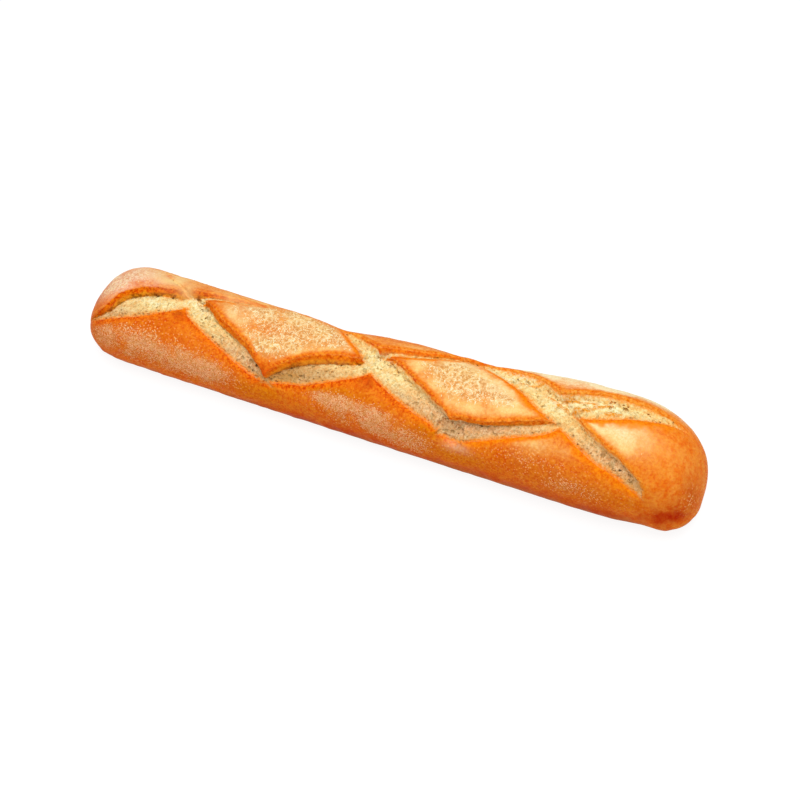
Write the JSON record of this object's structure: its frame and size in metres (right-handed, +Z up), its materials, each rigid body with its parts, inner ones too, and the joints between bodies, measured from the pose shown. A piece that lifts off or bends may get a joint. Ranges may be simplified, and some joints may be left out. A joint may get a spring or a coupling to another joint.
{
  "type": "baguette",
  "caption": "Short crusty baguette lying on its flat base, its crown scored with a criss-cross of deep open cuts that leave two diamonds of crust.",
  "frame": {"origin": "under the middle of the loaf, on the plane it rests on", "axes": "+X along the loaf towards its thicker end, +Z up through the crown, -Y the side with the near ends of the cuts"},
  "size_m": [0.45, 0.0794, 0.0681],
  "materials": {
    "crust": "baked crust, satin golden orange with dusted flour, pale porous crumb in the cuts"
  },
  "bodies": {
    "root": {"loaf": "crust"}
  },
  "joints": []
}
